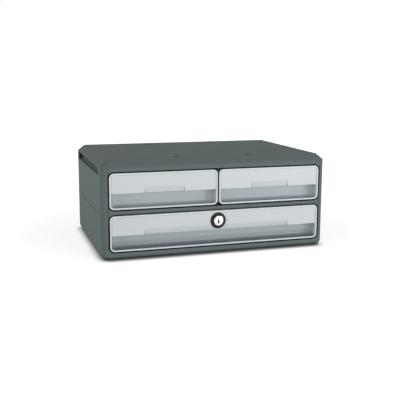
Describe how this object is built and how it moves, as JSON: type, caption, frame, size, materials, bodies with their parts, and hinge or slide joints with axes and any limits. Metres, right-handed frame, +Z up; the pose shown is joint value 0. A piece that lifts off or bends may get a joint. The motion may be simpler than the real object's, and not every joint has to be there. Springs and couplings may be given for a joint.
{
  "type": "desktop file drawer",
  "caption": "Low desktop drawer unit: grey plastic casing with small drawers side by side over a full-width drawer with a cam lock, finger recesses, side hand grips and stacking sockets.",
  "frame": {"origin": "bottom centre of the whole object, on the surface it stands on", "axes": "+X to the right seen from the front, +Y to the rear (drawers open along -Y), +Z up"},
  "size_m": [0.386, 0.2726, 0.1605],
  "materials": {
    "casing_plastic": "fine-grained matte grey",
    "drawer_front_plastic": "satin light silver grey",
    "tray_plastic": "satin light silver grey",
    "black_plastic": "glossy black",
    "lock_chrome": "bright plated",
    "zinc_steel": "zinc-plated",
    "foot_rubber": "matte black"
  },
  "bodies": {
    "casing": {"lower_housing": "casing_plastic", "upper_housing": "casing_plastic", "front_frame": "casing_plastic", "top_cover": "casing_plastic", "centre_partition": "casing_plastic", "lock_strike": "zinc_steel", "strike_screw": "zinc_steel", "foot_front_left": "foot_rubber", "foot_front_right": "foot_rubber", "foot_rear_left": "foot_rubber", "foot_rear_right": "foot_rubber"},
    "upper_left_drawer": {"upper_left_front": "drawer_front_plastic", "upper_left_tray": "tray_plastic"},
    "upper_right_drawer": {"upper_right_front": "drawer_front_plastic", "upper_right_tray": "tray_plastic"},
    "lower_drawer": {"lower_front": "drawer_front_plastic", "lower_tray": "tray_plastic", "lock_bezel": "black_plastic", "lock_barrel": "lock_chrome", "lock_nut": "lock_chrome"},
    "lock_core": {"lock_cylinder": "lock_chrome", "lock_cam": "zinc_steel", "cam_screw": "zinc_steel"}
  },
  "joints": [
    {"name": "upper_left_slide", "type": "slide", "parent": "casing", "child": "upper_left_drawer", "axis": [0, -1, 0], "range_m": [0, 0.19]},
    {"name": "upper_right_slide", "type": "slide", "parent": "casing", "child": "upper_right_drawer", "axis": [0, -1, 0], "range_m": [0, 0.19]},
    {"name": "lower_slide", "type": "slide", "parent": "casing", "child": "lower_drawer", "axis": [0, -1, 0], "range_m": [0, 0.19]},
    {"name": "lock_turn", "type": "hinge", "parent": "lower_drawer", "child": "lock_core", "pos_m": [0, -0.13375, 0.0561], "axis": [0, 1, 0], "range_deg": [0, 90]}
  ]
}
